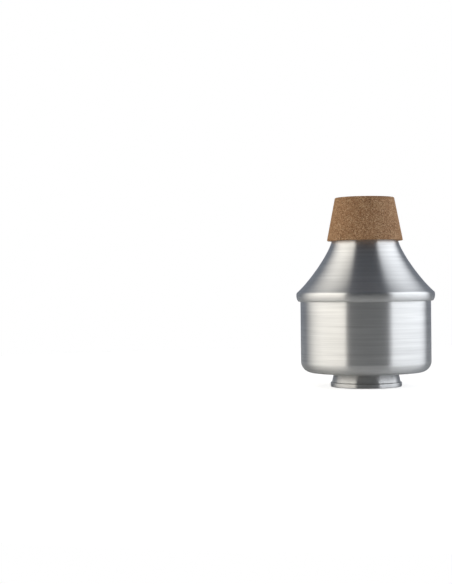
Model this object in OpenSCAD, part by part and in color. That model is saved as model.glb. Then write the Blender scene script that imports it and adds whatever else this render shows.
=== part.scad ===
// Wah-wah mute of spun aluminium. Its two shells are locked together in a rolled seam, a cork
// collar is cemented round the neck, and a cork-lined guide in the dished bottom holds the sliding stem.
// The mute stands on the rim of the stem's cup. Z is its axis, and z = 0 is the surface it stands on.

/* [Lower shell] */
// Outside diameter of the lower shell's wall
body_d = 85.6; // [82:0.2:92]
// Height of the lower shell from its foot to the underside of the seam
body_h = 46.7; // [40:0.1:54]
// Thickness of the spun sheet
sheet_t = 0.8; // [0.6:0.05:1]
// Outside radius of the corner between the wall and the foot
corner_r = 7.2; // [5:0.2:9]
// Radius of the turn from the foot into the dish
foot_r = 3.6; // [2.6:0.2:5]
// Depth of the dish that the stem's cup sinks into
dish_h = 21.4; // [20:0.1:24]
// Slope of the dish where it leaves the foot, in degrees above the horizontal
dish_angle = 58; // [50:1:64]
// Width of the flat seat round the hole in the dish
seat_w = 4.6; // [4:0.1:6]

/* [Seam] */
// Height of the rolled seam
seam_h = 6; // [5.4:0.1:8]
// How far the seam swells beyond the hem it wraps
seam_bulge = 1; // [0.6:0.05:1.4]
// Gap inside the lower shell's folded hem
hem_gap = 0.15; // [0.1:0.05:0.3]
// Gap between sheets that are pressed together
fit_gap = 0.05; // [0.03:0.01:0.1]

/* [Upper shell] */
// Height of the flare, from the seam's crease to the cork
flare_h = 33.7; // [29:0.1:38]
// Angle between the flare and the axis just below the cork
flare_top_angle = 15; // [10:1:20]
// Angle between the flare and the axis at the seam's crease
flare_bottom_angle = 49; // [45:1:53]

/* [Cork collar] */
// Height of the cork collar
collar_h = 28.5; // [25:0.1:33]
// Diameter of the collar at its narrow end
collar_top_d = 39.2; // [35:0.2:42]
// Diameter of the collar at its wide end
collar_bottom_d = 49.8; // [46:0.2:53]
// Thickness of the cork at the collar's narrow end
collar_top_wall = 2.25; // [1.8:0.05:3]
// Thickness of the cork at the collar's wide end
collar_bottom_wall = 3.05; // [2.4:0.05:3.8]
// Rounding of the collar's edges
collar_edge_r = 0.7; // [0.4:0.1:1]
// How far the neck's rim lies below the collar's narrow end
rim_drop = 0.6; // [0.3:0.1:1.5]

/* [Stem guide] */
// Length of the guide sleeve above the dish
sleeve_len = 19; // [14:0.5:26]
// Thickness of the sleeve's wall
sleeve_t = 0.7; // [0.5:0.05:0.9]
// Thickness of the sleeve's flange
flange_t = 0.8; // [0.6:0.1:1.2]
// Width of the sleeve's flange
flange_w = 2.6; // [2:0.1:3.2]
// Thickness of the cork lining that grips the tube
lining_t = 1; // [0.8:0.05:1.3]
// How far the lining's ends lie inside the sleeve's
lining_inset = 0.4; // [0.2:0.1:1]
// Radial clearance between the lining and the tube
slide_fit = 0.05; // [0.02:0.01:0.08]

/* [Stem] */
// Outside diameter of the stem's tube
tube_d = 14.8; // [13.6:0.1:15.6]
// Thickness of the tube's wall
tube_t = 0.7; // [0.5:0.05:0.9]
// Length of the tube above the cup's bowl
tube_len = 70; // [58:1:80]
// Width of the tube's flared end, outside its wall
tube_flare_w = 2.4; // [2.1:0.1:3]
// Depth of the shallow line turned in the tube
line_depth = 0.2; // [0.1:0.05:0.3]
// Width of that line
line_w = 0.6; // [0.4:0.1:1]
// Distance from the ferrule to that line
line_z = 2.4; // [1.6:0.2:4]
// Height of the ferrule behind the cup
ferrule_h = 4.6; // [4:0.1:6]
// Thickness of the ferrule's wall
ferrule_t = 1.3; // [1.1:0.05:1.5]
// Depth of the groove round the ferrule
ferrule_groove = 0.45; // [0.3:0.05:0.6]

/* [Stem cup] */
// Diameter of the cup at its rolled rim
cup_d = 46.8; // [44:0.2:50]
// Height of the bowl
bowl_h = 21.4; // [20.6:0.1:22.4]
// Thickness of the cup's sheet
cup_t = 0.8; // [0.6:0.05:1]
// Angle between the cup's wall and the axis
cup_angle = 8; // [4:1:16]
// Height of the rolled rim
lip_h = 3.1; // [2.4:0.1:3.8]
// How far the rolled rim stands out from the cup's wall
lip_step = 0.95; // [0.6:0.05:1.1]
// Rounding of the rolled rim's edges
lip_edge_r = 0.6; // [0.4:0.05:0.8]
// Height of the cup's neck round the tube
cup_neck_h = 3.8; // [3:0.1:4.6]
// Inner radius of the turn from the bowl into the neck
cup_neck_turn = 1; // [0.8:0.1:1.2]

/* [Hidden] */
// Air between the ferrule and the guide's flange with the stem pushed home
stop_gap = 0.3;
// Inner radius of the turn at the skirt's mouth
mouth_turn = 0.3;
// Slope of the skirt where it leaves that turn, in degrees from the vertical
mouth_lean = 45;
// How far the crease lies inside the seam's greatest swell, and the skirt's direction there
crease_inset = 0.6;
crease_angle = 130;
// Lengths of the curves' two handles, as shares of each curve's height or run
skirt_handles = [0.3, 0.22];
flare_handles = [0.31, 0.28];
dish_handles = [0.22, 0.35];
bowl_handles = [0.45, 0.24];
curve_steps = 14;
turn_steps = 8;
$fn = 120;

tube_r = tube_d / 2;
cup_neck_r = tube_r + fit_gap + cup_t;
ferrule_z = bowl_h + cup_neck_h;
ferrule_top_z = ferrule_z + ferrule_h;

flange_z = ferrule_top_z + stop_gap;
seat_z = flange_z + flange_t;
foot_z = seat_z - dish_h;
sleeve_in_r = tube_r + slide_fit + lining_t + fit_gap;
sleeve_out_r = sleeve_in_r + sleeve_t;
flange_r = sleeve_out_r + flange_w;
hole_r = sleeve_out_r + fit_gap;

body_r = body_d / 2;
foot_ring_r = body_r - corner_r;
seam_z = foot_z + body_h;
crease_z = seam_z + seam_h;
hem_r = body_r + hem_gap + sheet_t;
skirt_r = hem_r + fit_gap + sheet_t;
mouth_r = sheet_t + mouth_turn;
crease_r = skirt_r + seam_bulge - crease_inset;
hem_room = 1.6 * sheet_t;
fold_z = crease_z - hem_room;
hem_foot_z = seam_z + hem_room;

collar_z = crease_z + flare_h;
collar_top_z = collar_z + collar_h;
neck_rim_z = collar_top_z - rim_drop;
bore_base_r = collar_bottom_d / 2 - collar_bottom_wall;
bore_top_r = collar_top_d / 2 - collar_top_wall;
neck_base_r = bore_base_r - fit_gap;
neck_top_r = bore_top_r - fit_gap;

// Directions in the half-plane of a profile: x is the radius, y is the height.
function heading(angle) = [cos(angle), sin(angle)];
function unit(v) = v / norm(v);
function left_of(v) = [-v[1], v[0]];
function reversed(path) = [for (i = [len(path) - 1 : -1 : 0]) path[i]];
function after_first(path) = [for (i = [1 : len(path) - 1]) path[i]];

// Points along an arc, and along a cubic curve from p0 to p3.
function arc(centre, r, from, to, steps = turn_steps) =
    [for (i = [0 : steps]) centre + r * heading(from + (to - from) * i / steps)];
function curve(p0, p1, p2, p3, steps = curve_steps) =
    [for (i = [0 : steps]) let (t = i / steps, u = 1 - t)
        u * u * u * p0 + 3 * u * u * t * p1 + 3 * u * t * t * p2 + t * t * t * p3];

// The other face of a sheet of thickness t that lies to the left of a path.
function edge_side(path, i) = left_of(unit(path[i + 1] - path[i]));
function other_face(path, t) =
    [for (i = [0 : len(path) - 1])
        let (before = edge_side(path, max(i - 1, 0)),
             after = edge_side(path, min(i, len(path) - 2)),
             mid = unit(before + after))
        path[i] + mid * t / (mid * before)];

module turned(points) {
    rotate_extrude() polygon(points);
}

// A sheet spun to shape: its visible face follows the path, and its thickness lies to the path's left.
module spun(path, t) {
    turned(concat(path, reversed(other_face(path, t))));
}

// A turned ring between two radii, with its outer edges rounded.
module ring(in_r, out_r, low_z, high_z, edge) {
    turned(concat(
        [[in_r, low_z]],
        arc([out_r - edge, low_z + edge], edge, -90, 0, 4),
        arc([out_r - edge, high_z - edge], edge, 0, 90, 4),
        [[in_r, high_z]]
    ));
}

// Agglomerated cork, turned outside to the taper that wedges the mute and bored to the neck's taper.
module cork_collar() {
    bore_end_r = bore_top_r - (bore_base_r - bore_top_r) * rim_drop / (collar_h - rim_drop);
    lean = atan((collar_bottom_d - collar_top_d) / 2 / collar_h);
    low_edge = [collar_bottom_d / 2 - collar_edge_r, collar_z + collar_edge_r];
    high_edge = [collar_top_d / 2 - collar_edge_r, collar_top_z - collar_edge_r];
    color("peru") turned(concat(
        [[bore_base_r, collar_z]],
        arc(low_edge, collar_edge_r, -90, lean),
        arc(high_edge, collar_edge_r, lean, 90),
        [[bore_end_r, collar_top_z]]
    ));
}

// Neck, flare and the skirt that is rolled round the lower shell's hem to make the seam.
module upper_shell() {
    turn_centre = [skirt_r - mouth_r, seam_z + mouth_r];
    turn_end = turn_centre + mouth_r * heading(-mouth_lean);
    crease = [crease_r, crease_z];
    neck_base = [neck_base_r, collar_z];
    color("gainsboro") spun(concat(
        [[body_r + hem_gap, seam_z]],
        arc(turn_centre, mouth_r, -90, -mouth_lean),
        after_first(curve(
            turn_end, turn_end + skirt_handles[0] * seam_h * heading(90 - mouth_lean),
            crease - skirt_handles[1] * seam_h * heading(crease_angle), crease
        )),
        after_first(curve(
            crease, crease + flare_handles[0] * flare_h * heading(90 + flare_bottom_angle),
            neck_base - flare_handles[1] * flare_h * heading(90 + flare_top_angle), neck_base
        )),
        [[neck_top_r, neck_rim_z]]
    ), sheet_t);
}

// Dish, foot, wall and the hem that is folded outwards at the top of the wall.
module lower_shell() {
    foot_centre = [foot_ring_r, foot_z + foot_r];
    dish_start = foot_centre + foot_r * heading(-90 - dish_angle);
    seat_edge = [hole_r + seat_w, seat_z];
    dish_run = norm(seat_edge - dish_start);
    color("gainsboro") spun(concat(
        [[hole_r, seat_z]],
        curve(seat_edge, seat_edge + [dish_handles[0] * dish_run, 0],
              dish_start + dish_handles[1] * dish_run * heading(180 - dish_angle), dish_start),
        after_first(arc(foot_centre, foot_r, -90 - dish_angle, -90)),
        after_first(arc([foot_ring_r, foot_z + corner_r], corner_r, -90, 0)),
        arc([body_r + hem_gap / 2, fold_z], hem_gap / 2, 180, 0, 6),
        [[body_r + hem_gap, hem_foot_z]]
    ), sheet_t);
}

// Aluminium sleeve, flanged under the dish and swaged over its hole.
module guide_sleeve() {
    swage_z = seat_z + sheet_t + fit_gap;
    swage_h = 1.2;
    swage_step = 0.5;
    rim_edge = 0.1;
    flange_edge = 0.2;
    swage_edge = 0.4;
    color("silver") {
        ring(sleeve_in_r, sleeve_out_r, flange_z, seat_z + sleeve_len, rim_edge);
        ring(sleeve_in_r, flange_r, flange_z, seat_z, flange_edge);
        ring(sleeve_in_r, sleeve_out_r + swage_step, swage_z, swage_z + swage_h, swage_edge);
    }
}

// Cork lining glued in the sleeve. Its grip holds the stem wherever it is left.
module guide_lining() {
    edge = 0.2;
    color("burlywood") ring(
        tube_r + slide_fit, sleeve_in_r - fit_gap,
        flange_z + lining_inset, seat_z + sleeve_len - lining_inset, edge
    );
}

// Drawn tube, flared inside the cup's bowl and marked with one shallow line above the ferrule.
module stem_tube() {
    flare_turn = cup_neck_turn + cup_t + fit_gap;
    flare_z = bowl_h - cup_t - fit_gap;
    low_line_z = ferrule_top_z + line_z;
    clear = 1;
    color("silver") difference() {
        spun(concat(
            [[tube_r + tube_flare_w, flare_z]],
            arc([tube_r + flare_turn, flare_z + flare_turn], flare_turn, -90, -180),
            [[tube_r, bowl_h + tube_len]]
        ), tube_t);
        difference() {
            translate([0, 0, low_line_z]) cylinder(r = tube_r + clear, h = line_w);
            translate([0, 0, low_line_z - clear]) cylinder(r = tube_r - line_depth, h = line_w + 2 * clear);
        }
    }
}

// Ferrule that clamps the cup against the tube's flared end, grooved where it is crimped.
// The groove's curve dips three quarters of the way to its handles.
module stem_ferrule() {
    in_r = tube_r + fit_gap;
    out_r = in_r + ferrule_t;
    groove_z = ferrule_z + ferrule_h / 2;
    groove_half = ferrule_h / 6;
    handle_r = out_r - ferrule_groove / 0.75;
    edge = 0.3;
    color("silver") turned(concat(
        [[in_r, ferrule_z]],
        arc([out_r - edge, ferrule_z + edge], edge, -90, 0, 4),
        curve([out_r, groove_z - groove_half],
              [handle_r, groove_z - groove_half / 2],
              [handle_r, groove_z + groove_half / 2],
              [out_r, groove_z + groove_half], 8),
        arc([out_r - edge, ferrule_top_z - edge], edge, 0, 90, 4),
        [[in_r, ferrule_top_z]]
    ));
}

// Spun cup: rolled rim with a flat foot, flared wall, round bowl and a short neck on the tube.
module stem_cup() {
    lip_r = cup_d / 2;
    wall_r = lip_r - lip_step;
    up_the_wall = heading(90 + cup_angle);
    wall_foot = [wall_r, lip_h] - up_the_wall * lip_h / cos(cup_angle);
    turn_centre = [cup_neck_r + cup_neck_turn, bowl_h + cup_neck_turn];
    neck_land = 0.8;
    bowl_end = [turn_centre[0] + neck_land, bowl_h];
    bowl_run = norm(bowl_end - [wall_r, lip_h]);
    wall = concat(
        curve([wall_r, lip_h], [wall_r, lip_h] + bowl_handles[0] * bowl_run * up_the_wall,
              bowl_end + [bowl_handles[1] * bowl_run, 0], bowl_end),
        arc(turn_centre, cup_neck_turn, -90, -180),
        [[cup_neck_r, ferrule_z]]
    );
    color("gainsboro") turned(concat(
        arc([lip_r - lip_edge_r, lip_edge_r], lip_edge_r, -90, 0, 5),
        arc([lip_r - lip_edge_r, lip_h - lip_edge_r], lip_edge_r, 0, 90, 5),
        wall,
        reversed(after_first(other_face(concat([wall_foot], wall), cup_t))),
        [[wall_foot[0] - cup_t / cos(cup_angle), 0]]
    ));
}

cork_collar();
upper_shell();
lower_shell();
guide_sleeve();
guide_lining();
stem_tube();
stem_ferrule();
stem_cup();
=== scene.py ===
import math

import bpy
import numpy as np
from mathutils import Matrix, Vector


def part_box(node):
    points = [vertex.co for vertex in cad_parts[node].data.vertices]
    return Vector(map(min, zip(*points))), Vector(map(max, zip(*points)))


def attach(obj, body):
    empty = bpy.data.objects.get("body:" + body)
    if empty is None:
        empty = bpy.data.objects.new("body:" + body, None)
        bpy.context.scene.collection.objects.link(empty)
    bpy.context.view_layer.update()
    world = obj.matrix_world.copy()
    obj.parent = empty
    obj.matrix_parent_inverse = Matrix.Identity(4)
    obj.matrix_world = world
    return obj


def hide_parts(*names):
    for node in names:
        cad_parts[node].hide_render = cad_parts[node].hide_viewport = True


# Wah-wah mute, spun aluminium and cork. Everything is in metres, standing on z = 0 with its axis on Z.
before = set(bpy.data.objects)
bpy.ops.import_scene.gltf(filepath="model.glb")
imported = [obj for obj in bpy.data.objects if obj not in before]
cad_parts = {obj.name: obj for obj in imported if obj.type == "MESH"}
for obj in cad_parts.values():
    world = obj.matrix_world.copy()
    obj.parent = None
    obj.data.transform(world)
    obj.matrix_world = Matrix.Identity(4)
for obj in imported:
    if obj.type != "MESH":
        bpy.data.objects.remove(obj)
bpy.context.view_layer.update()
mm = 0.001
up = Vector((0, 0, 1))
samePlace = 1e-6  # points closer than this are one point


# Outlines are lists of (radius, height) in the half-plane y = 0. Angles are in degrees: 0 is outwards and 90
# is up.
def heading(degrees):
    return Vector((math.cos(math.radians(degrees)), math.sin(math.radians(degrees))))


def arc(centre, radius, start, end, steps):
    turns = [start + (end - start) * i / steps for i in range(steps + 1)]
    return [Vector(centre) + radius * heading(turn) for turn in turns]


def curve(p0, p1, p2, p3, steps):
    points = []
    for i in range(steps + 1):
        t = i / steps
        u = 1 - t
        points.append(u ** 3 * p0 + 3 * u * u * t * p1 + 3 * u * t * t * p2 + t ** 3 * p3)
    return points


def joined(*runs):
    path = []
    for run in runs:
        path += [p for p in run if not path or (p - path[-1]).length > samePlace]
    return path


# The other face of a sheet that lies to the left of a path, mitred at every point
def otherFace(path, thickness):
    sides = [Vector((a.y - b.y, b.x - a.x)).normalized() for a, b in zip(path, path[1:])]
    face = []
    for i, point in enumerate(path):
        before = sides[max(i - 1, 0)]
        after = sides[min(i, len(sides) - 1)]
        middle = (before + after).normalized()
        face.append(point + middle * thickness / middle.dot(before))
    return face


# Long straight runs get a point near each end, so that only a narrow strip is shaded into the corner
def supported(outline, margin=0.3 * mm, longRun=1.2 * mm):
    path = []
    for a, b in zip(outline, outline[1:] + outline[:1]):
        path.append(a)
        if (b - a).length > longRun:
            step = (b - a).normalized() * margin
            path += [a + step, b - step]
    return path


def sheetOutline(path, thickness):
    return path + otherFace(path, thickness)[::-1]


def selectAll():
    bpy.ops.mesh.select_all(action="SELECT")


# A closed outline is walked out vertex by vertex from one merged plane, then spun about Z like work on a lathe
def turned(name, outline, segments=224, softEdge=0.12 * mm, bevelAbove=35, smoothBelow=40):
    bpy.ops.object.select_all(action="DESELECT")
    outline = supported(outline)
    first = outline[0]
    bpy.ops.mesh.primitive_plane_add(size=mm, location=(first.x, 0, first.y))
    piece = bpy.context.object
    piece.name = name
    bpy.ops.object.transform_apply(location=True, rotation=True, scale=True)
    bpy.ops.object.mode_set(mode="EDIT")
    selectAll()
    bpy.ops.mesh.merge(type="CENTER")
    for a, b in zip(outline, outline[1:]):
        move = (b.x - a.x, 0, b.y - a.y)
        bpy.ops.mesh.extrude_vertices_move(TRANSFORM_OT_translate={"value": move})
    selectAll()
    bpy.ops.mesh.edge_face_add()
    bpy.ops.mesh.delete(type="ONLY_FACE")
    selectAll()
    bpy.ops.mesh.spin(steps=segments, angle=math.tau, center=(0, 0, 0), axis=up)
    selectAll()
    bpy.ops.mesh.remove_doubles(threshold=samePlace)
    bpy.ops.mesh.normals_make_consistent(inside=False)
    bpy.ops.object.mode_set(mode="OBJECT")
    bevel = piece.modifiers.new("soft edges", "BEVEL")
    bevel.width = softEdge
    bevel.segments = 2
    bevel.limit_method = "ANGLE"
    bevel.angle_limit = math.radians(bevelAbove)
    bpy.ops.object.modifier_apply(modifier=bevel.name)
    bpy.ops.object.shade_smooth_by_angle(angle=math.radians(smoothBelow))
    markAlong(piece, outline)
    return piece


# Each vertex keeps its distance along the outline, in millimetres: turning lines follow it
def markAlong(piece, outline):
    path = np.array([(p.x, p.y) for p in outline])
    lengths = np.concatenate([[0], np.cumsum(np.linalg.norm(np.diff(path, axis=0), axis=1))])
    places = np.array([v.co for v in piece.data.vertices])
    flat = np.stack([np.hypot(places[:, 0], places[:, 1]), places[:, 2]], 1)
    along = np.zeros(len(flat))
    nearest = np.full(len(flat), np.inf)
    for i, (a, b) in enumerate(zip(path, path[1:])):
        run = b - a
        share = np.clip((flat - a) @ run / (run @ run), 0, 1)
        gap = np.linalg.norm(flat - a - share[:, None] * run, axis=1)
        closer = gap < nearest
        nearest[closer] = gap[closer]
        along[closer] = (lengths[i] + share * np.linalg.norm(run))[closer]
    attribute = piece.data.attributes.new("along", "FLOAT", "POINT")
    attribute.data.foreach_set("value", (along / mm).astype(np.float32))


def finishPiece(piece, material, body, slotName, *nodes):
    piece.data.materials.clear()
    piece.data.materials.append(material)
    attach(piece, body)
    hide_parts(*nodes)
    print("made", piece.name, len(piece.data.polygons), "faces")


# Materials
def srgb(hexColour):
    channels = [int(hexColour[i:i + 2], 16) / 255 for i in (1, 3, 5)]
    return (*[c / 12.92 if c <= 0.04045 else ((c + 0.055) / 1.055) ** 2.4 for c in channels], 1)


def addNode(tree, kind, settings=None, links=None):
    node = tree.nodes.new(kind)
    for key, value in (settings or {}).items():
        if isinstance(key, int) or key in node.inputs:
            node.inputs[key].default_value = value
        else:
            setattr(node, key, value)
    for key, source in (links or {}).items():
        tree.links.new(source, node.inputs[key])
    return node


def rampNode(tree, source, stops):
    node = addNode(tree, "ShaderNodeValToRGB", links={"Fac": source})
    for i, (place, colour) in enumerate(stops):
        stop = node.color_ramp.elements[i] if i < 2 else node.color_ramp.elements.new(place)
        stop.position = place
        stop.color = colour
    return node


def newMaterial(name):
    material = bpy.data.materials.new(name)
    material.use_nodes = True
    tree = material.node_tree
    tree.nodes.clear()
    output = addNode(tree, "ShaderNodeOutputMaterial")
    return material, tree, output


# Aluminium sheet spun on a lathe: fine turning lines run round the axis, so highlights stretch along it.
# Widths are in mm and drifts in waves per metre. Real turning lines are 0.1 to 0.2 mm apart, too fine to show
# here, so they are drawn as coarse as they need to be.
def spunAluminium(name, look):
    material, tree, output = newMaterial(name)
    along = addNode(tree, "ShaderNodeAttribute", {"attribute_name": "along"})
    place = addNode(tree, "ShaderNodeTexCoord")
    split = addNode(tree, "ShaderNodeSeparateXYZ", links={"Vector": place.outputs["Object"]})
    lines = []
    for width, drift in ((look["lineWidth"], look["lineDrift"]), (look["bandWidth"], look["bandDrift"])):
        across = addNode(tree, "ShaderNodeMath", {"operation": "MULTIPLY", 1: 1 / width},
                         {0: along.outputs["Fac"]})
        sideways = addNode(tree, "ShaderNodeMath", {"operation": "MULTIPLY", 1: drift},
                           {0: split.outputs["X"]})
        backwards = addNode(tree, "ShaderNodeMath", {"operation": "MULTIPLY", 1: drift},
                            {0: split.outputs["Y"]})
        vector = addNode(tree, "ShaderNodeCombineXYZ", links={
            "X": sideways.outputs[0], "Y": backwards.outputs[0], "Z": across.outputs[0]})
        lines.append(addNode(tree, "ShaderNodeTexNoise", {"Scale": 1.0, "Detail": 3.0, "Roughness": 0.6},
                             {"Vector": vector.outputs["Vector"]}))
    low, high = look["noiseSpan"]
    colour = rampNode(tree, lines[1].outputs["Fac"], [(low, srgb(look["dark"])), (high, srgb(look["pale"]))])
    rough = addNode(tree, "ShaderNodeMapRange", {
        "From Min": low, "From Max": high, "To Min": look["roughLow"], "To Max": look["roughHigh"]},
        {"Value": lines[0].outputs["Fac"]})
    height = addNode(tree, "ShaderNodeMapRange", {
        "From Min": (look["rolledBelow"] - look["rolledFade"]) * mm, "From Max": look["rolledBelow"] * mm,
        "To Min": look["rolledRough"], "To Max": 1.0}, {"Value": split.outputs["Z"]})
    finish = addNode(tree, "ShaderNodeMath", {"operation": "MULTIPLY"},
                     {0: rough.outputs["Result"], 1: height.outputs["Result"]})
    bump = addNode(tree, "ShaderNodeBump", {"Strength": look["bump"], "Distance": look["lineDepth"] * mm},
                   {"Height": lines[0].outputs["Fac"]})
    tangent = addNode(tree, "ShaderNodeTangent", {"direction_type": "RADIAL", "axis": "Z"})
    metal = addNode(tree, "ShaderNodeBsdfPrincipled", {
        "Metallic": 1.0, "Anisotropic": look["anisotropy"], "Anisotropic Rotation": look["quarterTurn"]},
        {"Base Color": colour.outputs["Color"], "Roughness": finish.outputs[0],
         "Normal": bump.outputs["Normal"], "Tangent": tangent.outputs["Tangent"]})
    tree.links.new(metal.outputs["BSDF"], output.inputs["Surface"])
    return material


# Agglomerated cork: pressed granules of bark in a brown binder, ground to a taper and left matte
def pressedCork(name, look):
    material, tree, output = newMaterial(name)
    place = addNode(tree, "ShaderNodeTexCoord")
    granules = addNode(tree, "ShaderNodeTexVoronoi", {
        "Scale": 1 / (look["granule"] * mm), "Randomness": 1.0}, {"Vector": place.outputs["Object"]})
    tone = addNode(tree, "ShaderNodeSeparateColor", links={"Color": granules.outputs["Color"]})
    grain = addNode(tree, "ShaderNodeTexNoise", {
        "Scale": 1 / (look["speck"] * mm), "Detail": 4.0, "Roughness": 0.7},
        {"Vector": place.outputs["Object"]})
    patches = addNode(tree, "ShaderNodeTexNoise", {
        "Scale": 1 / (look["patch"] * mm), "Detail": 2.0}, {"Vector": place.outputs["Object"]})
    bark = rampNode(tree, tone.outputs["Red"], [(share, srgb(colour)) for share, colour in look["tones"]])
    specks = rampNode(tree, grain.outputs["Fac"], [(share, srgb(colour)) for share, colour in look["specks"]])
    clouds = rampNode(tree, patches.outputs["Fac"], [(share, srgb(colour)) for share, colour in look["clouds"]])
    mixed = bark.outputs["Color"]
    for layer in (specks, clouds):
        mixed = addNode(tree, "ShaderNodeMix", {"data_type": "RGBA", "blend_type": "MULTIPLY", 0: 1.0},
                        {6: mixed, 7: layer.outputs["Color"]}).outputs[2]
    height = addNode(tree, "ShaderNodeMath", {"operation": "ADD"},
                     {0: granules.outputs["Distance"], 1: grain.outputs["Fac"]})
    bump = addNode(tree, "ShaderNodeBump", {"Strength": look["bump"], "Distance": look["pit"] * mm},
                   {"Height": height.outputs[0]})
    surface = addNode(tree, "ShaderNodeBsdfPrincipled", {
        "Roughness": look["roughness"], "IOR": look["ior"], "Specular IOR Level": look["specular"]},
        {"Base Color": mixed, "Normal": bump.outputs["Normal"]})
    tree.links.new(surface.outputs["BSDF"], output.inputs["Surface"])
    return material


shellLook = {
    "pale": "#f2f2f1", "dark": "#dededd", "roughLow": 0.28, "roughHigh": 0.35, "anisotropy": 0.97,
    "lineWidth": 0.8, "lineDrift": 24.0, "bandWidth": 1.3, "bandDrift": 16.0, "lineDepth": 0.02, "bump": 0.22,
    "noiseSpan": (0.3, 0.7), "quarterTurn": 0.25, "rolledBelow": 0.0, "rolledFade": 0.3, "rolledRough": 1.0}
shellMetal = spunAluminium("spun aluminium, satin", shellLook)
# The rolling tool leaves the seam, below 62 mm, a little duller than the flare above it
seamMetal = spunAluminium("spun aluminium, rolled at the seam", {
    **shellLook, "rolledBelow": 62.0, "rolledRough": 1.1})
# The cup is small and turned at a finer feed, so its lines are closer
cupMetal = spunAluminium("spun aluminium, finer turned", {
    **shellLook, "pale": "#efefee", "dark": "#e0e0e0", "roughLow": 0.3, "roughHigh": 0.36, "anisotropy": 0.95,
    "lineWidth": 0.7, "bandWidth": 1.3})
# The tube comes smooth from its die and has only faint lines from being polished round
tubeMetal = spunAluminium("drawn aluminium tube", {
    **shellLook, "pale": "#e8e8e7", "dark": "#d9d9d9", "roughLow": 0.24, "roughHigh": 0.3, "anisotropy": 0.8,
    "lineWidth": 1.2, "lineDrift": 6.0, "bandWidth": 5.0, "bandDrift": 5.0, "lineDepth": 0.01, "bump": 0.1})
corkLook = {
    "granule": 0.6, "speck": 0.4, "patch": 6.0, "roughness": 0.85, "ior": 1.45, "specular": 0.3, "pit": 0.2,
    "bump": 0.3, "specks": [(0.36, "#d2c8be"), (0.5, "#ffffff")],
    "clouds": [(0.3, "#efebe7"), (0.7, "#ffffff")],
    "tones": [(0.0, "#8c674b"), (0.1, "#ac815e"), (0.45, "#c19671"), (0.8, "#d3ac86"), (1.0, "#e6c59f")]}
cork = pressedCork("agglomerated cork, ground", corkLook)

# Cork collar
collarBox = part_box("cork_collar")
collar = {
    "low": collarBox[0].z, "high": collarBox[1].z, "baseRadius": collarBox[1].x, "topRadius": 19.6 * mm,
    "edge": 0.7 * mm, "boreBase": 21.85 * mm, "boreTop": 17.29 * mm, "ringStep": 0.4 * mm, "pits": 0.1 * mm,
    "pitWidth": 1.1 * mm, "pitDetail": 2}


def makeCollar(look):
    lean = math.degrees(math.atan((look["baseRadius"] - look["topRadius"]) / (look["high"] - look["low"])))
    edge = look["edge"]
    lowEdge = arc((look["baseRadius"] - edge, look["low"] + edge), edge, -90, lean, 5)
    highEdge = arc((look["topRadius"] - edge, look["high"] - edge), edge, lean, 90, 5)
    steps = int((highEdge[0] - lowEdge[-1]).length / look["ringStep"])
    wall = [lowEdge[-1].lerp(highEdge[0], i / steps) for i in range(steps + 1)]
    outline = joined([Vector((look["boreBase"], look["low"]))], lowEdge, wall, highEdge,
                     [Vector((look["boreTop"], look["high"]))])
    piece = turned("cork_collar_look", outline, segments=360)
    texture = bpy.data.textures.new("cork granules", "CLOUDS")
    texture.noise_scale = look["pitWidth"]
    texture.noise_depth = look["pitDetail"]
    pits = piece.modifiers.new("pits", "DISPLACE")
    pits.texture = texture
    pits.texture_coords = "LOCAL"
    pits.strength = look["pits"]
    pits.mid_level = 1.0
    bpy.ops.object.modifier_apply(modifier=pits.name)
    return piece


finishPiece(makeCollar(collar), cork, "mute_body", "cork", "cork_collar")

# Both shells share the rolled seam, so its sizes are kept together
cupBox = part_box("stem_cup")
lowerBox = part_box("lower_shell")
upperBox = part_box("upper_shell")
seam = {
    "low": upperBox[0].z, "height": 6.0 * mm, "bodyRadius": 42.8 * mm, "sheet": 0.8 * mm, "hemGap": 0.15 * mm,
    "fitGap": 0.05 * mm, "bulge": 1.0 * mm, "mouthTurn": 0.3 * mm, "turnEnd": -45, "creaseInset": 0.6 * mm,
    "creaseAngle": 130, "handles": (0.3, 0.22)}
seam["hemRoom"] = 1.6 * seam["sheet"]
seam["hemRadius"] = seam["bodyRadius"] + seam["hemGap"] + seam["sheet"]
seam["skirtRadius"] = seam["hemRadius"] + seam["fitGap"] + seam["sheet"]
seam["high"] = seam["low"] + seam["height"]

# Angles lean from straight up, and handles are shares of the height or length that a curve spans
upperShell = {
    "neckBase": 21.8 * mm, "neckTop": 17.3 * mm, "topAngle": 15, "bottomAngle": 49, "handles": (0.31, 0.28),
    "collarLow": collarBox[0].z, "rim": upperBox[1].z}


def makeUpperShell(look):
    turnRadius = seam["sheet"] + seam["mouthTurn"]
    turnCentre = Vector((seam["skirtRadius"] - turnRadius, seam["low"] + turnRadius))
    turn = arc(turnCentre, turnRadius, -90, seam["turnEnd"], 8)
    crease = Vector((seam["skirtRadius"] + seam["bulge"] - seam["creaseInset"], seam["high"]))
    neckBase = Vector((look["neckBase"], look["collarLow"]))
    low, high = (share * seam["height"] for share in seam["handles"])
    skirt = curve(turn[-1], turn[-1] + low * heading(90 + seam["turnEnd"]),
                  crease - high * heading(seam["creaseAngle"]), crease, 20)
    low, high = (share * (look["collarLow"] - seam["high"]) for share in look["handles"])
    flare = curve(crease, crease + low * heading(90 + look["bottomAngle"]),
                  neckBase - high * heading(90 + look["topAngle"]), neckBase, 64)
    path = joined([Vector((seam["bodyRadius"] + seam["hemGap"], seam["low"]))], turn, skirt, flare,
                  [Vector((look["neckTop"], look["rim"]))])
    return turned("upper_shell_look", sheetOutline(path, seam["sheet"]))


finishPiece(makeUpperShell(upperShell), seamMetal, "mute_body", "spun_aluminium", "upper_shell")

lowerShell = {
    "foot": lowerBox[0].z, "cornerRadius": 7.2 * mm, "footRadius": 3.6 * mm, "dishAngle": 58,
    "seat": lowerBox[0].z + 21.4 * mm, "holeRadius": 9.25 * mm, "seatWidth": 4.6 * mm, "handles": (0.22, 0.35)}


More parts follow.
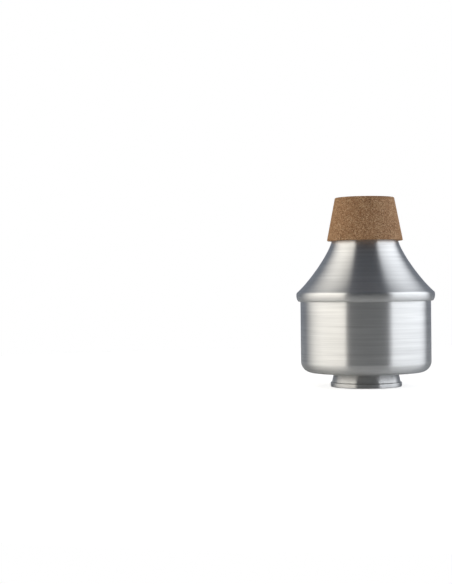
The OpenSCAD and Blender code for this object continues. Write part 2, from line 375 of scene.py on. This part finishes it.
def makeLowerShell(look):
    footRing = seam["bodyRadius"] - look["cornerRadius"]
    footCentre = Vector((footRing, look["foot"] + look["footRadius"]))
    dishStart = footCentre + look["footRadius"] * heading(-90 - look["dishAngle"])
    seatEdge = Vector((look["holeRadius"] + look["seatWidth"], look["seat"]))
    inner, outer = (share * (seatEdge - dishStart).length for share in look["handles"])
    dish = curve(seatEdge, seatEdge + Vector((inner, 0)),
                 dishStart + outer * heading(180 - look["dishAngle"]), dishStart, 48)
    foldHigh = seam["high"] - seam["hemRoom"]
    path = joined(
        [Vector((look["holeRadius"], look["seat"]))], dish,
        arc(footCentre, look["footRadius"], -90 - look["dishAngle"], -90, 12),
        arc((footRing, look["foot"] + look["cornerRadius"]), look["cornerRadius"], -90, 0, 24),
        arc((seam["bodyRadius"] + seam["hemGap"] / 2, foldHigh), seam["hemGap"] / 2, 180, 0, 6),
        [Vector((seam["bodyRadius"] + seam["hemGap"], seam["low"] + seam["hemRoom"]))])
    return turned("lower_shell_look", sheetOutline(path, seam["sheet"]))


finishPiece(makeLowerShell(lowerShell), shellMetal, "mute_body", "spun_aluminium", "lower_shell")

# Stem: cup, ferrule and tube
stem = {
    "tubeRadius": 7.4 * mm, "tubeWall": 0.7 * mm, "fitGap": 0.05 * mm, "sheet": 0.8 * mm, "bowl": 21.4 * mm,
    "neckTurn": 1.0 * mm, "cupHigh": cupBox[1].z}
cup = {
    "rimRadius": cupBox[1].x, "lipHeight": 3.1 * mm, "lipStep": 0.95 * mm, "lipEdge": 0.6 * mm, "wallAngle": 8,
    "neckLand": 0.8 * mm, "handles": (0.45, 0.24)}


def makeCup(look):
    neckRadius = stem["tubeRadius"] + stem["fitGap"] + stem["sheet"]
    wallRadius = look["rimRadius"] - look["lipStep"]
    upTheWall = heading(90 + look["wallAngle"])
    wallStart = Vector((wallRadius, look["lipHeight"]))
    wallFoot = wallStart - upTheWall * look["lipHeight"] / math.cos(math.radians(look["wallAngle"]))
    turnCentre = Vector((neckRadius + stem["neckTurn"], stem["bowl"] + stem["neckTurn"]))
    bowlEnd = Vector((turnCentre.x + look["neckLand"], stem["bowl"]))
    low, high = (share * (bowlEnd - wallStart).length for share in look["handles"])
    wall = joined(
        curve(wallStart, wallStart + low * upTheWall, bowlEnd + Vector((high, 0)), bowlEnd, 40),
        arc(turnCentre, stem["neckTurn"], -90, -180, 8),
        [Vector((neckRadius, stem["cupHigh"]))])
    edge = look["lipEdge"]
    lip = joined(
        arc((look["rimRadius"] - edge, edge), edge, -90, 0, 8),
        arc((look["rimRadius"] - edge, look["lipHeight"] - edge), edge, 0, 90, 8))
    inside = otherFace([wallFoot] + wall, stem["sheet"])[:0:-1]
    foot = [Vector((wallFoot.x - stem["sheet"] / math.cos(math.radians(look["wallAngle"])), 0))]
    return turned("stem_cup_look", joined(lip, wall, inside, foot))


finishPiece(makeCup(cup), cupMetal, "stem", "spun_aluminium", "stem_cup")

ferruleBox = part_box("stem_ferrule")
ferrule = {"low": ferruleBox[0].z, "high": ferruleBox[1].z, "radius": ferruleBox[1].x, "edge": 0.3 * mm,
           "groove": 0.45 * mm, "grooveShare": 1 / 3, "handleReach": 0.75}


def makeFerrule(look):
    inner = stem["tubeRadius"] + stem["fitGap"]
    middle = (look["low"] + look["high"]) / 2
    half = (look["high"] - look["low"]) * look["grooveShare"] / 2
    dip = look["radius"] - look["groove"] / look["handleReach"]  # a curve goes 3/4 of the way to its handles
    edge = look["edge"]
    outline = joined(
        [Vector((inner, look["low"]))],
        arc((look["radius"] - edge, look["low"] + edge), edge, -90, 0, 6),
        curve(Vector((look["radius"], middle - half)), Vector((dip, middle - half / 2)),
              Vector((dip, middle + half / 2)), Vector((look["radius"], middle + half)), 16),
        arc((look["radius"] - edge, look["high"] - edge), edge, 0, 90, 6),
        [Vector((inner, look["high"]))])
    return turned("stem_ferrule_look", outline, segments=128)


finishPiece(makeFerrule(ferrule), cupMetal, "stem", "drawn_aluminium", "stem_ferrule")

tube = {"flareWidth": 2.4 * mm, "high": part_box("stem_tube")[1].z, "lineLow": 2.4 * mm, "lineWidth": 0.6 * mm,
        "lineDepth": 0.2 * mm}


def makeTube(look):
    radius = stem["tubeRadius"]
    flareTurn = stem["neckTurn"] + stem["sheet"] + stem["fitGap"]
    flareHigh = stem["bowl"] - stem["sheet"] - stem["fitGap"]
    low = ferrule["high"] + look["lineLow"]
    middle = low + look["lineWidth"] / 2
    ease = Vector((0, look["lineWidth"] / 4))  # the line's edges are eased, with no sharp corner
    lineEnds = [Vector((radius, low)), Vector((radius, low + look["lineWidth"]))]
    dip = Vector((radius - look["lineDepth"], middle))
    flare = joined([Vector((radius + look["flareWidth"], flareHigh))],
                   arc((radius + flareTurn, flareHigh + flareTurn), flareTurn, -90, -180, 12))
    face = otherFace(flare, stem["tubeWall"])
    bore = radius - stem["tubeWall"]
    line = joined(curve(lineEnds[0], lineEnds[0] + ease, dip - ease, dip, 6),
                  curve(dip, dip + ease, lineEnds[1] - ease, lineEnds[1], 6))
    top = [Vector((radius, look["high"])), Vector((bore, look["high"]))]
    return turned("stem_tube_look", joined(flare, line, top, face[::-1]), segments=128)


finishPiece(makeTube(tube), tubeMetal, "stem", "drawn_aluminium", "stem_tube")

# Guide in the dish: a flanged sleeve and its cork lining
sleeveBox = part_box("guide_sleeve")
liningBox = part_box("guide_lining")
sleeve = {"low": sleeveBox[0].z, "high": sleeveBox[1].z, "flangeRadius": sleeveBox[1].x, "flange": 0.8 * mm,
          "inner": 8.5 * mm, "wall": 0.7 * mm, "swage": 0.5 * mm, "swageHeight": 1.2 * mm, "edge": 0.2 * mm}


def makeSleeve(look):
    outer = look["inner"] + look["wall"]
    edge = look["edge"]
    seat = look["low"] + look["flange"]
    swageLow = seat + seam["sheet"] + seam["fitGap"]
    swageHigh = swageLow + look["swageHeight"]
    swageRadius = outer + look["swage"]
    outline = joined(
        [Vector((look["inner"], look["low"]))],
        arc((look["flangeRadius"] - edge, look["low"] + edge), edge, -90, 0, 4),
        arc((look["flangeRadius"] - edge, seat - edge), edge, 0, 90, 4),
        [Vector((outer, seat)), Vector((outer, swageLow))],
        arc((swageRadius - edge, swageLow + edge), edge, -90, 0, 4),
        arc((swageRadius - edge, swageHigh - edge), edge, 0, 90, 4),
        [Vector((outer, swageHigh)), Vector((outer, look["high"])), Vector((look["inner"], look["high"]))])
    return turned("guide_sleeve_look", outline, segments=128)


lining = {"low": liningBox[0].z, "high": liningBox[1].z, "inner": stem["tubeRadius"] + stem["fitGap"],
          "outer": liningBox[1].x, "edge": 0.2 * mm}


def makeLining(look):
    edge = look["edge"]
    outline = joined(
        [Vector((look["inner"], look["low"]))],
        arc((look["outer"] - edge, look["low"] + edge), edge, -90, 0, 4),
        arc((look["outer"] - edge, look["high"] - edge), edge, 0, 90, 4),
        [Vector((look["inner"], look["high"]))])
    return turned("guide_lining_look", outline, segments=128)


finishPiece(makeSleeve(sleeve), tubeMetal, "mute_body", "drawn_aluminium", "guide_sleeve")
finishPiece(makeLining(lining), cork, "mute_body", "cork", "guide_lining")

# Floor, white to the eye and a pale satin to the metal. From below it is clear, and a hole under the cup lets
# light in, so the underside can be seen.
stage = {
    "radius": 0.55, "hole": 20 * mm, "corners": 96, "pale": "#e6e6e6", "reflected": "#f9fbfd", "glow": 0.78,
    "gloss": 0.34, "satin": 0.3}


def makeFloor(look):
    bpy.ops.object.select_all(action="DESELECT")
    bpy.ops.mesh.primitive_circle_add(vertices=look["corners"], radius=look["hole"], location=(0, 0, 0))
    floor = bpy.context.object
    floor.name = "floor"
    bpy.ops.object.mode_set(mode="EDIT")
    selectAll()
    bpy.ops.mesh.extrude_edges_move()
    spread = look["radius"] / look["hole"]
    bpy.ops.transform.resize(value=(spread, spread, 1))
    bpy.ops.object.mode_set(mode="OBJECT")
    if floor.data.polygons[0].normal.z < 0:
        bpy.ops.object.mode_set(mode="EDIT")
        selectAll()
        bpy.ops.mesh.flip_normals()
        bpy.ops.object.mode_set(mode="OBJECT")
    material, tree, output = newMaterial("matte white floor")
    path = addNode(tree, "ShaderNodeLightPath")
    paint = addNode(tree, "ShaderNodeBsdfDiffuse", {"Color": srgb(look["pale"])})
    matte = addNode(tree, "ShaderNodeBsdfDiffuse", {"Color": srgb(look["reflected"])})
    gloss = addNode(tree, "ShaderNodeBsdfAnisotropic", {
        "Color": srgb(look["pale"]), "Roughness": look["satin"]})
    shade = addNode(tree, "ShaderNodeMixShader", {0: look["gloss"]},
                    {1: matte.outputs[0], 2: gloss.outputs[0]})
    glow = addNode(tree, "ShaderNodeEmission", {"Color": (1, 1, 1, 1), "Strength": look["glow"]})
    both = addNode(tree, "ShaderNodeAddShader", links={0: paint.outputs[0], 1: glow.outputs[0]})
    seen = addNode(tree, "ShaderNodeMixShader", links={
        0: path.outputs["Is Camera Ray"], 1: shade.outputs[0], 2: both.outputs[0]})
    side = addNode(tree, "ShaderNodeNewGeometry")
    clear = addNode(tree, "ShaderNodeBsdfTransparent")
    oneSided = addNode(tree, "ShaderNodeMixShader", links={
        0: side.outputs["Backfacing"], 1: seen.outputs[0], 2: clear.outputs[0]})
    tree.links.new(oneSided.outputs[0], output.inputs["Surface"])
    floor.data.materials.append(material)


makeFloor(stage)

# World: white where the camera looks, a dim room elsewhere
room = {"white": 1.0, "front": 0.035, "back": 0.26, "fill": 0.04, "tint": "#e6efff"}


def makeWorld(look):
    world = bpy.data.worlds.new("studio")
    bpy.context.scene.world = world
    world.use_nodes = True
    tree = world.node_tree
    tree.nodes.clear()
    output = addNode(tree, "ShaderNodeOutputWorld")
    path = addNode(tree, "ShaderNodeLightPath")
    white = addNode(tree, "ShaderNodeBackground", {"Color": (1, 1, 1, 1), "Strength": look["white"]})
    place = addNode(tree, "ShaderNodeTexCoord")
    split = addNode(tree, "ShaderNodeSeparateXYZ", links={"Vector": place.outputs["Generated"]})
    depth = addNode(tree, "ShaderNodeMapRange", {
        "From Min": -1.0, "From Max": 1.0, "To Min": look["front"], "To Max": look["back"]},
        {"Value": split.outputs["Y"]})
    dim = addNode(tree, "ShaderNodeBackground", {"Color": srgb(look["tint"])},
                  {"Strength": depth.outputs["Result"]})
    fill = addNode(tree, "ShaderNodeBackground", {"Color": (1, 1, 1, 1), "Strength": look["fill"]})
    reflected = addNode(tree, "ShaderNodeMixShader", links={
        0: path.outputs["Is Glossy Ray"], 1: fill.outputs[0], 2: dim.outputs[0]})
    seen = addNode(tree, "ShaderNodeMixShader", links={
        0: path.outputs["Is Camera Ray"], 1: reflected.outputs[0], 2: white.outputs[0]})
    tree.links.new(seen.outputs[0], output.inputs["Surface"])


makeWorld(room)

# Two tall softboxes, one to each side and a little forward, with a dark gap between them behind the camera.
# Each fades over shares of its width at its right and left side, as seen from the mute, and of its height at
# its foot and top.
softboxes = {
    "left": {"azimuth": -88, "distance": 0.9, "height": 0.55, "width": 2.1, "tall": 3.4, "glow": 1.45,
             "tint": "#fffaf0", "sides": (0.52, 0.05), "ends": (0.42, 0.5)},
    "right": {"azimuth": 82, "distance": 0.9, "height": 0.55, "width": 2.0, "tall": 3.4, "glow": 1.5,
              "tint": "#f8fbff", "sides": (0.14, 0.34), "ends": (0.42, 0.55)}}


def makeSoftbox(name, look):
    turn = math.radians(look["azimuth"])
    place = Vector((math.sin(turn), -math.cos(turn), 0)) * look["distance"] + up * look["height"]
    light = bpy.data.lights.new(f"softbox {name}", "AREA")
    light.shape = "RECTANGLE"
    light.size = look["width"]
    light.size_y = look["tall"]
    light.energy = look["glow"] * math.pi * look["width"] * look["tall"]
    light.color = srgb(look["tint"])[:3]
    lamp = bpy.data.objects.new(light.name, light)
    bpy.context.collection.objects.link(lamp)
    aim = up * look["height"] - place
    lamp.location = place
    lamp.rotation_euler = aim.to_track_quat("-Z", "Y").to_euler()
    light.use_nodes = True
    tree = light.node_tree
    emission = tree.nodes["Emission"]
    shape = addNode(tree, "ShaderNodeNewGeometry")
    split = addNode(tree, "ShaderNodeSeparateXYZ", links={"Vector": shape.outputs["Parametric"]})
    strength = None
    for axis, fades in (("X", look["sides"]), ("Y", look["ends"])):
        for low, high in ((0.0, fades[0]), (1.0, 1.0 - fades[1])):
            fade = addNode(tree, "ShaderNodeMapRange", {
                "interpolation_type": "SMOOTHSTEP", "From Min": low, "From Max": high},
                {"Value": split.outputs[axis]}).outputs["Result"]
            strength = fade if strength is None else addNode(
                tree, "ShaderNodeMath", {"operation": "MULTIPLY"}, {0: strength, 1: fade}).outputs[0]
    tree.links.new(strength, emission.inputs["Strength"])


for boxName, boxLook in softboxes.items():
    makeSoftbox(boxName, boxLook)
print("lit with", len(softboxes), "softboxes")

# Camera: nearly level, a little left of the mute's axis, on a long lens
cameraLook = {
    "place": (-0.0919, -0.880, 0.067), "down": 0.25, "roll": -0.6, "sensor": 36, "focalPixels": 1334,
    "tallPixels": 584, "nearest": 0.01}


def makeCamera(look):
    data = bpy.data.cameras.new("camera")
    data.sensor_width = look["sensor"]
    data.lens = look["sensor"] * look["focalPixels"] / look["tallPixels"]
    data.clip_start = look["nearest"]
    camera = bpy.data.objects.new("camera", data)
    bpy.context.collection.objects.link(camera)
    tilt = Matrix.Rotation(math.radians(90 - look["down"]), 4, "X")
    roll = Matrix.Rotation(math.radians(look["roll"]), 4, "Z")
    camera.matrix_world = Matrix.Translation(look["place"]) @ tilt @ roll
    bpy.context.scene.camera = camera


makeCamera(cameraLook)
bpy.context.scene.view_settings.view_transform = "Standard"
